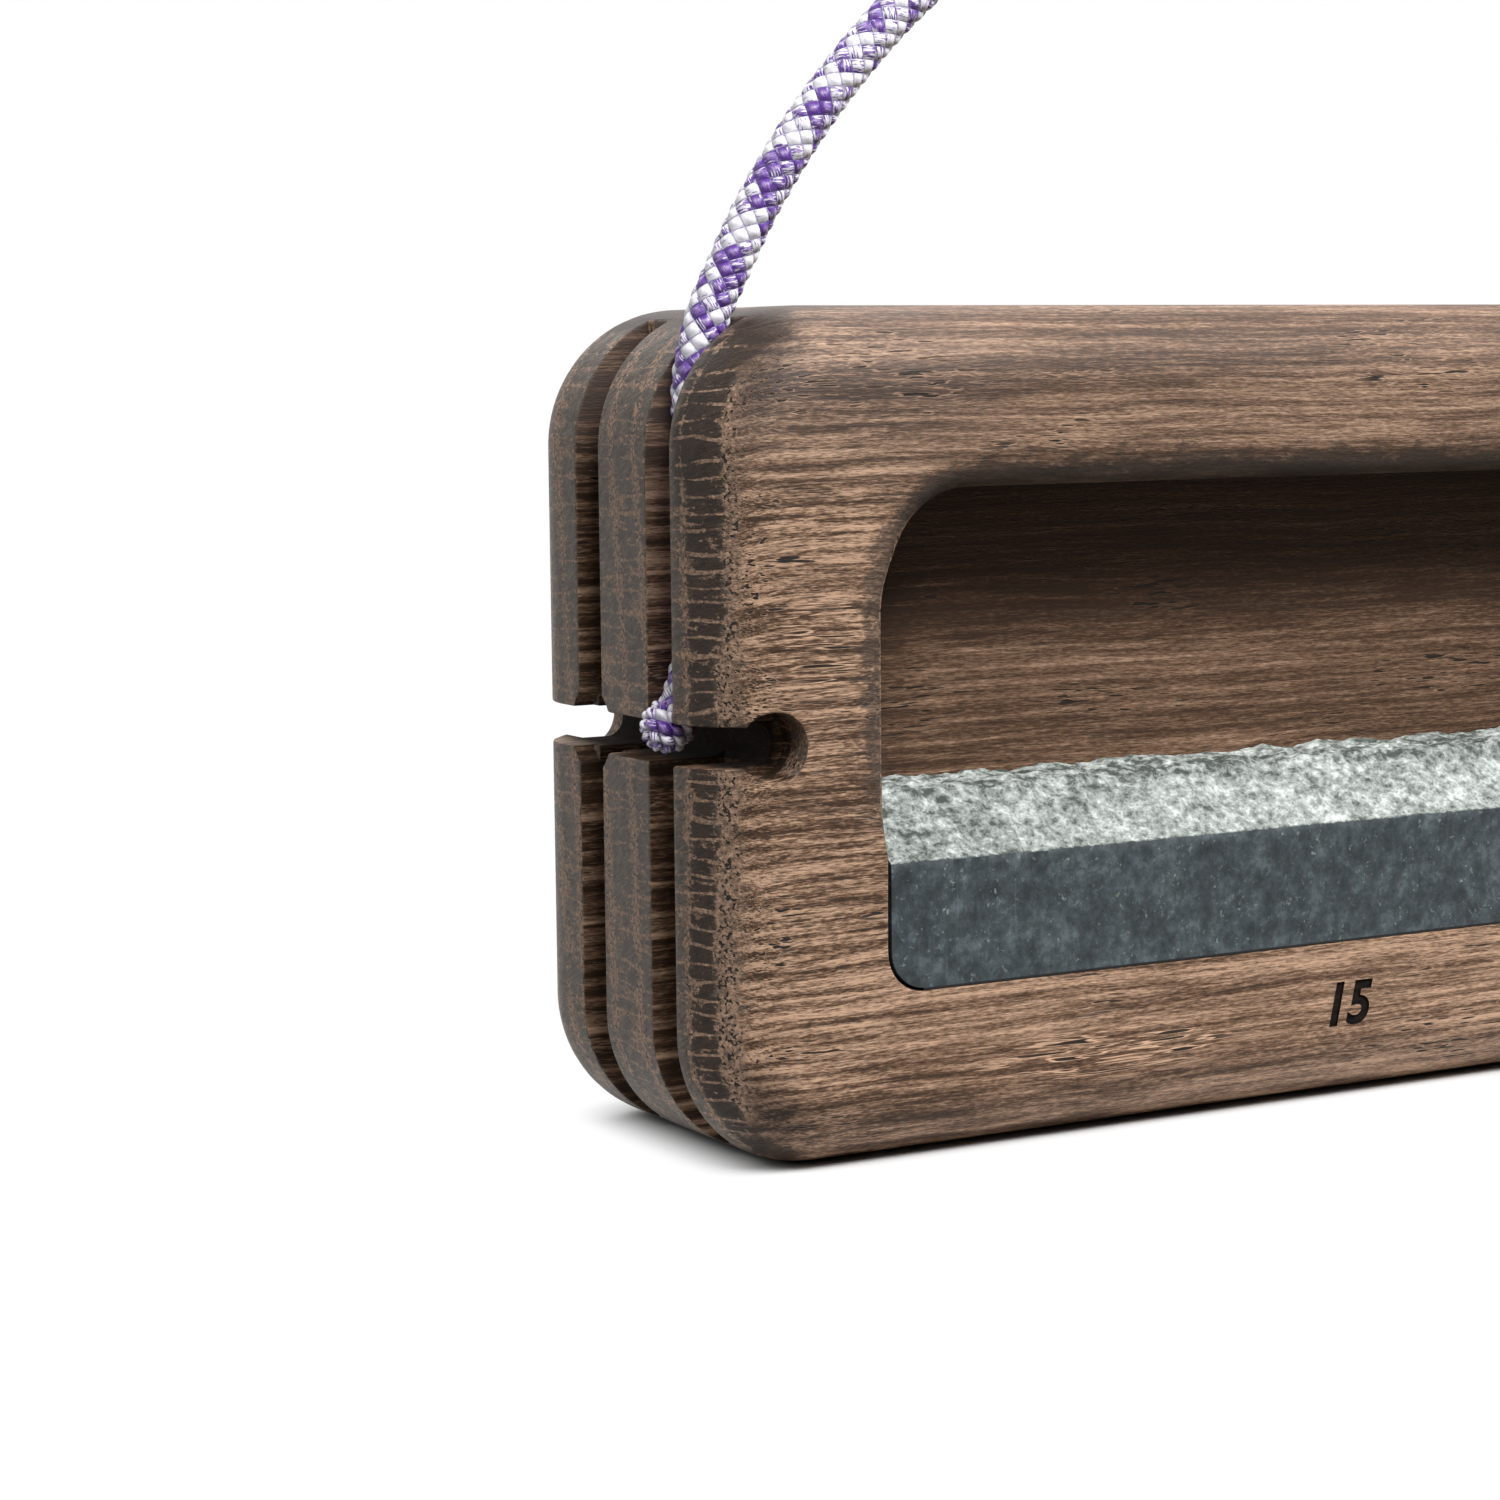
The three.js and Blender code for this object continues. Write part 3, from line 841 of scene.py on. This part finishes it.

    # Painted shade on the rounded rim of the pocket's mouth, where it turns away from the light
    jag = f.cloud(at, (300, 700, 520), 4.0, 0.68)
    mouth = f.past_corner(outer, side - s.pocket_top, here_z, HEIGHT - s.top_rail - s.pocket_top)
    mouth = f.less(mouth, s.pocket_top)
    painted_mouth_shade = f.times(f.band(f.about(jag, 0.012, mouth), 0.0038, 0.0026), f.band(mouth, -0.0010, -0.0003))
    painted_mouth_shade = f.times(painted_mouth_shade, f.band(here_z, 0.038, 0.046))
    for share, laid in (
        (painted_sheen, (0.230, 0.190, 0.178)),
        (lip, tint(c.wood_light, 1.3)),
        (open_pore, (0.016, 0.010, 0.007)),
        (f.times(torn, f.band(splinter, 0.12, 0.15)), tint(c.wood_light, 1.6)),
        # Dark lines in the torn wood: painted shade inside its cracks
        (f.times(torn, f.band(splinter, 0.18, 0.21)), (0.018, 0.011, 0.007)),
        (f.times(painted_mouth_shade, 0.66), (0.046, 0.033, 0.026)),
    ):
        long_grain = f.mix(share, long_grain, laid)

    # End grain: open rings, dark zones, rays and short bricks of pores
    share = f.add(f.about(jag, 0.0022, across), 1 / DEPTH, 0.5)
    patch = f.cloud(at, (260, 260, 520), 3.0, 0.55)
    leaned = f.times(f.less(0.055, rise), f.band(share, 0.18, 0.28), 1.9)
    widened = f.about(patch, 0.045, f.times(f.band(rise, 0.054, 0.068), 0.023))
    widened = f.sum("ADD", share, f.times(widened, f.band(share, 0.145, 0.095)))
    open_rings = f.levels(f.sum("ADD", widened, leaned), RINGS)
    spill = f.band(f.away(share, 0.125), 0.065, 0.035)
    spill = f.times(spill, f.band(f.about(jag, 0.016, rise), 0.068, 0.084))
    heart = f.most(f.levels(widened, HEARTS), spill)
    lines = f.cloud(grain, (20, 110, 820), 2.0, 0.55)
    ray = f.most(f.band(wave, 0.72, 0.97), f.times(f.band(lines, 0.60, 0.70), 0.7))
    speck = f.cloud(at, (1100, 1900, 1700), 3.0, 0.7)
    shift = f.vector("ADD", f.vector("MULTIPLY", at, (1, 520, 1250)), speck)
    bricks = f.band(f.cells(shift, "DISTANCE_TO_EDGE"), 0.15, 0.01)
    tan = f.about(patch, 0.80, f.about(speck, 0.48, f.add(bricks, 0.12, 0.435)))
    tan = f.weighed(tan, (ray, 0.13), (open_rings, 0.34), (f.times(heart, ray), 0.16), (spill, -0.07))
    dense = f.mix(heart, c.end_grain, (0.024, 0.014, 0.009))
    shades = f.levels(f.about(streak, 0.9, jag), [(0.28, 0.5), (0.50, 1.0), (0.72, 1.6)])
    dense = f.mix(1.0, dense, shades, "MULTIPLY")
    grit = f.cloud(at, (2000, 2000, 2000), 2.0, 0.6)
    open_wood = f.tinted(grit, c.pore_line, (0.34, 0.45), (0.50, 1.0), (0.68, 1.8))
    end_grain = f.mix(f.band(tan, 0.56, 0.70), dense, open_wood)
    holes = f.band(f.add(open_rings, 0.15, f.cloud(at, (1100, 2800, 2100), 1.0)), 0.71, 0.77)
    end_grain = f.mix(holes, end_grain, (0.012, 0.008, 0.006))

    # Where a face turns from the long grain to the end grain, and painted shade deep inside the slots
    facing_x, _, facing_z = f.split(f.at("Normal"))
    facing = f.about(jag, 0.35, f.size(facing_x))
    on_end = f.band(facing, 0.48, 0.66)
    shadowed = f.times(heart, f.band(facing, 0.04, 0.28), 0.80)
    long_grain = f.mix(shadowed, long_grain, (0.036, 0.021, 0.013))
    oblique = f.times(f.band(facing, 0.05, 0.35), f.band(f.size(facing_z), 0.02, 0.30), 0.75)
    long_grain = f.mix(oblique, long_grain, (0.30, 0.29, 0.29), "MULTIPLY")
    colour = f.mix(on_end, long_grain, end_grain)
    painted_slot_shade = f.times(f.band(outer, END - 0.0015, END - 0.0055), f.band(outer, END - 0.0118, END - 0.0104))
    painted_slot_shade = f.times(painted_slot_shade, f.band(f.away(here_z, s.slot_rise), 0.0029, 0.0024))
    colour = f.mix(f.times(painted_slot_shade, 0.94), colour, (0.007, 0.005, 0.004))
    height = f.weighed(f.times(fine, 0.7), (streak, 0.5), (open_pore, -1.0), (f.times(holes, on_end), -1.5))
    rough = f.weighed(0.50, (on_end, -0.06), (painted_slot_shade, 0.45), (inner, 0.25))
    return f.shine(colour, f.bump(height, 0.00022, 0.6), roughness=rough, specular_ior_level=0.20)


def burnt():
    f = Finish("burnt_wood")
    char = f.cloud(f.at(), (900, 900, 2600), 2.0, 0.6)
    colour = f.ramp(char, [(0.3, (0.004, 0.003, 0.003)), (0.7, (0.016, 0.012, 0.010))])
    return f.shine(colour, f.bump(char, 0.0001, 0.5), roughness=0.95, specular_ior_level=0.1)


def stone(c, crease):
    """Slate, honed below the crease and broken above it."""
    f = Finish("slate")
    at = f.at()
    here_x, _, rise = f.split(at)
    outer = f.size(here_x)
    fleck = f.cloud(at, (1500, 1500, 1500), 2.0, 0.6)
    clustered = f.band(f.cloud(at, (330, 330, 280), 3.0, 0.6), 0.44, 0.66)
    pitted = f.band(f.cloud(at, (1150, 1150, 800), 2.0, 0.6), 0.60, 0.68)
    drawn = f.band(f.cloud(at, (1600, 900, 130), 2.0, 0.6), 0.58, 0.76)
    shaded = f.band(f.cloud(at, (900, 600, 90), 3.0, 0.6), 0.50, 0.72)
    crumbs = f.band(f.cloud(at, (620, 620, 700), 2.0, 0.6), 0.66, 0.74)
    clouds = f.cloud(at, (190, 190, 210), 4.0, 0.75)
    sawn = f.add(f.band(outer, 0.035, 0.066), 0.75, 0.25)
    mottle = f.cloud(at, (480, 480, 440), 5.0, 0.76)
    honed = f.tinted(mottle, c.slate, (0.36, 0.55), (0.50, 1.0), (0.64, 1.9))
    for share, laid in (
        (f.times(f.band(fleck, 0.60, 0.70), clustered, 0.75), (0.26, 0.30, 0.30)),
        (f.times(drawn, sawn, 0.16), (0.26, 0.30, 0.31)),
        (f.most(f.times(shaded, sawn, 0.3), f.times(pitted, 0.5)), (0.022, 0.028, 0.032)),
    ):
        honed = f.mix(share, honed, laid)
    stops = [(0.34, (0.70, 0.71, 0.72)), (0.52, (1, 1, 1)), (0.70, (1.40, 1.42, 1.36))]
    honed = f.mix(1.0, honed, f.ramp(clouds, stops), "MULTIPLY")
    honed = f.mix(f.times(crumbs, 0.5), honed, (0.24, 0.24, 0.21))

    grain = f.about(f.cloud(at, (170, 260, 260), 3.0, 0.6), 0.45, f.cloud(at, (820, 900, 900), 4.0, 0.74))
    behind = f.band(rise, crease + 0.0050, crease + 0.0080)
    behind = f.most(behind, f.times(f.band(outer, 0.035, 0.065), 0.8))
    chips = f.band(f.cloud(at, (330, 500, 500), 3.0, 0.65), 0.44, 0.60)
    grain = f.add(f.times(behind, chips), -0.18, grain)
    stops = [(0.30, (0.060, 0.072, 0.062)), (0.42, tint(c.broken, 0.60)), (0.53, c.broken)]
    rough_stone = f.ramp(grain, [*stops, (0.68, (0.64, 0.68, 0.66))])
    pits = f.rest(f.cells(f.vector("MULTIPLY", at, (900, 900, 900))))
    rough_stone = f.mix(f.times(f.band(pits, 0.74, 0.90), 0.5), rough_stone, (0.05, 0.06, 0.05))
    on_top = f.band(f.about(fleck, 0.0006, rise), crease - 0.00008, crease + 0.00022)
    colour = f.mix(on_top, honed, rough_stone)
    bump = f.bump(f.add(fleck, 0.12, f.times(grain, on_top)), 0.0004, 0.6)
    return f.shine(colour, bump, roughness=f.add(on_top, 0.30, 0.52), specular_ior_level=0.25)


def glue(c):
    f = Finish("dark_glue")
    lumps = f.cloud(f.at(), (1400, 1400, 1400), 2.0, 0.6)
    colour = f.tinted(lumps, c.glue, (0.3, 0.6), (0.7, 1.6))
    return f.shine(colour, f.bump(lumps, 0.0002, 0.6), roughness=0.5)


def yarn(c, carriers):
    """Two colours of glossy yarn, braided along the piece's own map."""
    f = Finish("braided_yarn")
    turns, along, _ = f.split(f.node("UVMap", uv_map="braid").outputs["UV"])
    a, b = f.sum("ADD", turns, along), f.less(turns, along)
    i, j = f.sum("FLOOR", a), f.sum("FLOOR", b)
    part_a, part_b = f.less(a, i), f.less(b, j)
    under = f.sum("FLOORED_MODULO", f.sum("ADD", i, j), 2.0)

    def choose(x, y):
        return f.node("Mix", {0: under, 2: x, 3: y}, data_type="FLOAT").outputs[0]

    def strands(index, pattern):
        share = f.sum("FLOORED_MODULO", index, float(carriers))
        share = f.add(share, 1 / carriers, 0.5 / carriers)
        return f.levels(share, [(k / carriers, level) for k, level in enumerate(pattern)], "CONSTANT")

    across, lengthways = choose(part_a, part_b), choose(part_b, part_a)
    own = f.join(f.sum("FLOORED_MODULO", i, float(carriers)), f.less(i, j))
    chance = f.node("TexWhiteNoise", {"Vector": own}, noise_dimensions="3D").outputs["Value"]
    laid = f.mix(under, strands(i, VIOLET_UP), strands(j, VIOLET_DOWN))
    batch = f.cloud(f.join(f.times(j, 0.31), f.times(i, 0.47)), None, 1.0)
    violet = f.weighed(-0.51, (batch, 1.5), (laid, 0.42), (chance, 0.40))

    def fibres(wide, long, seed):
        parts = f.join(f.times(across, wide), f.times(lengthways, long), f.times(chance, seed))
        return f.cloud(parts, None, 2.0, 0.6)

    violet = f.about(fibres(8.0, 1.2, 60.0), 1.5, violet)
    colour = f.mix(f.band(violet, 0.60, 0.74), c.cord_light, c.cord_dark)
    fibre = fibres(24.0, 2.2, 9.0)
    bulge = f.times(*(f.sum("SINE", f.times(part, math.pi)) for part in (lengthways, across)))
    # Painted shade in the gaps between the stitches
    colour = f.mix(f.band(bulge, 0.28, 0.0), colour, (0.48, 0.44, 0.58), "MULTIPLY")
    colour = f.mix(f.times(f.band(fibre, 0.45, 0.75), 0.30), colour, (0.45, 0.40, 0.55), "MULTIPLY")
    # Painted glints of light on the crowns of the stitches
    glint = f.times(f.band(bulge, 0.45, 0.95), f.band(fibre, 0.62, 0.40))
    colour = f.mix(f.times(glint, 0.32), colour, (0.88, 0.72, 0.96))
    bump = f.bump(f.add(fibre, 0.3, f.sum("POWER", bulge, 0.5)), 0.00025, 0.8)
    sheen = {"sheen_weight": 0.1, "sheen_roughness": 0.4}
    return f.shine(colour, bump, roughness=0.30, specular_ior_level=0.5, **sheen)


def paper(half_width, half_depth):
    """A white floor that keeps the shadow close to the board, with a painted contact shadow right under its
    edges, and meets the white behind it.
    """
    f = Finish("white_floor")
    seen = f.seen()
    x, y, _ = f.split(f.at())
    away = f.past_corner(f.size(x), half_width, f.size(y), half_depth)
    far = f.band(away, 0.0042, 0.0150)
    dim = f.mix(seen, f.band(away, 0.0, 0.06), far)
    # Painted contact shadow: the floor goes dark right under the board's edges
    painted_contact_shadow = f.mix(f.band(away, -0.001, 0.010), (0.12, 0.12, 0.12), (0.80, 0.80, 0.80))
    glow = {"emission_color": (1, 1, 1), "emission_strength": f.times(seen, far)}
    return f.shine(f.mix(dim, painted_contact_shadow, (0.02, 0.02, 0.02)), roughness=0.9, specular_ior_level=0.0, **glow)


def white_world():
    """White where it is looked at, and dim as a light."""
    world = bpy.data.worlds.new("white")
    world.use_nodes = True
    f = Nodes(world.node_tree)
    level = f.node("MapRange", {"Value": f.seen(), "To Min": 0.04, "To Max": 1.0}).outputs[0]
    background = f.node("Background", {"Color": (1, 1, 1), "Strength": level})
    f.node("OutputWorld", {"Surface": background.outputs[0]})
    return world


def lamp(name, place, width, height, power):
    """A soft rectangular lamp that shines on the middle of the board."""
    data = bpy.data.lights.new(name, "AREA")
    data.shape = "RECTANGLE"
    data.size = width
    data.size_y = height
    data.energy = power
    way = Vector((0, 0, HEIGHT / 2)) - Vector(place)
    turn = way.to_track_quat("-Z", "Y").to_matrix().to_4x4()
    linked(name, data).matrix_world = Matrix.Translation(place) @ turn


def settings():
    scene = bpy.context.scene
    return scene.hangboard_board, scene.hangboard_stone, scene.hangboard_cord, scene.hangboard_colours


def kept(name, build):
    """A material by name, built when it is first asked for."""
    return bpy.data.materials.get(name) or build()


# Operators
class HANGBOARD_OT_camera(Operator):
    """Set the camera where the picture was taken from"""

    bl_idname = "hangboard.camera"
    bl_label = "Camera"

    def execute(self, context):
        data = bpy.data.cameras.new("camera")
        data.lens = 82.0
        data.clip_start = 0.01
        camera = linked("camera", data)
        yaw, pitch, roll = 0.511232, 0.112387, -0.0108123
        turn = Matrix.Rotation(roll, 3, "Y") @ Matrix.Rotation(pitch, 3, "X") @ Matrix.Rotation(yaw, 3, "Z")
        right, ahead, up = turn
        basis = Matrix((right, up, -ahead)).transposed().to_4x4()
        eye = (-0.271915, -0.356802, 0.093304)
        camera.matrix_world = Matrix.Translation(eye) @ basis
        context.scene.camera = camera
        return {"FINISHED"}


class HANGBOARD_OT_sling(Operator):
    """Build the braided cord and its stopper knots"""

    bl_idname = "hangboard.sling"
    bl_label = "Cord sling"

    def execute(self, context):
        board, _, cord, colours = settings()
        material = kept("braided_yarn", lambda: yarn(colours, cord.carriers))
        for side, name in ((-1, "left"), (1, "right")):
            bm = stopper_knot(cord, board, side)
            knot = finished(name + "_knot", bm, material, math.radians(80))
            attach(knot, "board")
            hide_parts(name + "_stopper_knot")
        bm, line, total = sling(cord)
        piece = finished("cord_sling", bm, material, math.radians(80))
        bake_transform(piece)
        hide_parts("sling_arch", "sling_left_run", "sling_right_run")
        return {"FINISHED"}


class HANGBOARD_OT_board(Operator):
    """Build the wooden block with its pockets, grooves and slots"""

    bl_idname = "hangboard.board"
    bl_label = "Board"

    def execute(self, context):
        s, stones, _, colours = settings()
        timber = kept("oiled_wood", lambda: wood(colours, s))
        burn = kept("burnt_wood", burnt)
        piece = finished("wooden_board", rounded_block(s), timber)
        fade = s.bottom_rail + stones.glue + stones.face
        spaces = [pocket_space(s, s.front_pocket, fade), turned(pocket_space(s, s.rear_pocket, fade))]
        for space in end_spaces(s):
            spaces += [space, mirrored(space.copy())]
        cut(piece, spaces)
        cut(piece, [digits("15", s), turned(digits("20", s))], burn)
        break_edges(piece, s, fade)
        weighted = piece.modifiers.new("weighted", "WEIGHTED_NORMAL")
        weighted.keep_sharp = True
        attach(piece, "board")
        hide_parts("board_body")
        return {"FINISHED"}


class HANGBOARD_OT_stones(Operator):
    """Build the two stone edges and the glue round them"""

    bl_idname = "hangboard.stones"
    bl_label = "Stone edges"

    def execute(self, context):
        board, sizes, _, colours = settings()
        crease = board.bottom_rail + sizes.glue + sizes.face
        material = kept("slate", lambda: stone(colours, crease))
        for name, depth, seed in (("front", board.front_pocket, 3.7), ("rear", board.rear_pocket, 11.3)):
            bm = stone_bar(sizes, board, depth, seed)
            if name == "rear":
                turned(bm)
            piece = finished(name + "_stone", bm, material, math.radians(50))
            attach(piece, "board")
            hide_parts(name + "_stone_edge")
            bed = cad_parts[name + "_stone_adhesive"]
            bed.data.materials.clear()
            bed.data.materials.append(kept("dark_glue", lambda: glue(colours)))
        return {"FINISHED"}


class HANGBOARD_OT_stage(Operator):
    """Set the floor, the white behind it and the soft lamps"""

    bl_idname = "hangboard.stage"
    bl_label = "Stage"

    def execute(self, context):
        scene = context.scene
        s = scene.hangboard_board
        scene.view_settings.view_transform = "Standard"
        bm = bmesh.new()
        bmesh.ops.create_grid(bm, x_segments=1, y_segments=1, size=6)
        finished("floor", bm, paper(END - s.corner, -FRONT - s.rounding))
        scene.world = white_world()
        lamp("key", (0.16, -0.60, 0.84), 1.15, 0.26, 19.0)
        lamp("left", (-1.15, -0.10, 0.60), 0.6, 0.6, 4.5)
        lamp("rear", (0.10, 0.70, 1.00), 0.9, 0.4, 7.0)
        return {"FINISHED"}


STEPS = [
    HANGBOARD_OT_camera,
    HANGBOARD_OT_sling,
    HANGBOARD_OT_board,
    HANGBOARD_OT_stones,
    HANGBOARD_OT_stage,
]
GROUPS = {
    "hangboard_board": BoardSizes,
    "hangboard_stone": StoneSizes,
    "hangboard_cord": CordSizes,
    "hangboard_colours": Colours,
}


class HANGBOARD_PT_panel(Panel):
    """The hangboard's pieces, sizes and colours"""

    bl_idname = "HANGBOARD_PT_panel"
    bl_label = "Hangboard"
    bl_space_type = "VIEW_3D"
    bl_region_type = "UI"
    bl_category = "Hangboard"

    def draw(self, context):
        for step in STEPS:
            self.layout.operator(step.bl_idname)
        for name, group in GROUPS.items():
            box = self.layout.box()
            values = getattr(context.scene, name)
            for key in group.__annotations__:
                box.prop(values, key)


def register():
    for group in GROUPS.values():
        bpy.utils.register_class(group)
    for name, group in GROUPS.items():
        setattr(bpy.types.Scene, name, PointerProperty(type=group))
    for step in STEPS:
        bpy.utils.register_class(step)
    bpy.utils.register_class(HANGBOARD_PT_panel)


def unregister():
    bpy.utils.unregister_class(HANGBOARD_PT_panel)
    for step in reversed(STEPS):
        bpy.utils.unregister_class(step)
    for name, group in GROUPS.items():
        delattr(bpy.types.Scene, name)
        bpy.utils.unregister_class(group)


def main():
    register()
    bpy.ops.hangboard.camera()
    bpy.ops.hangboard.sling()
    bpy.ops.hangboard.board()
    bpy.ops.hangboard.stones()
    bpy.ops.hangboard.stage()


if __name__ == "__main__":
    main()
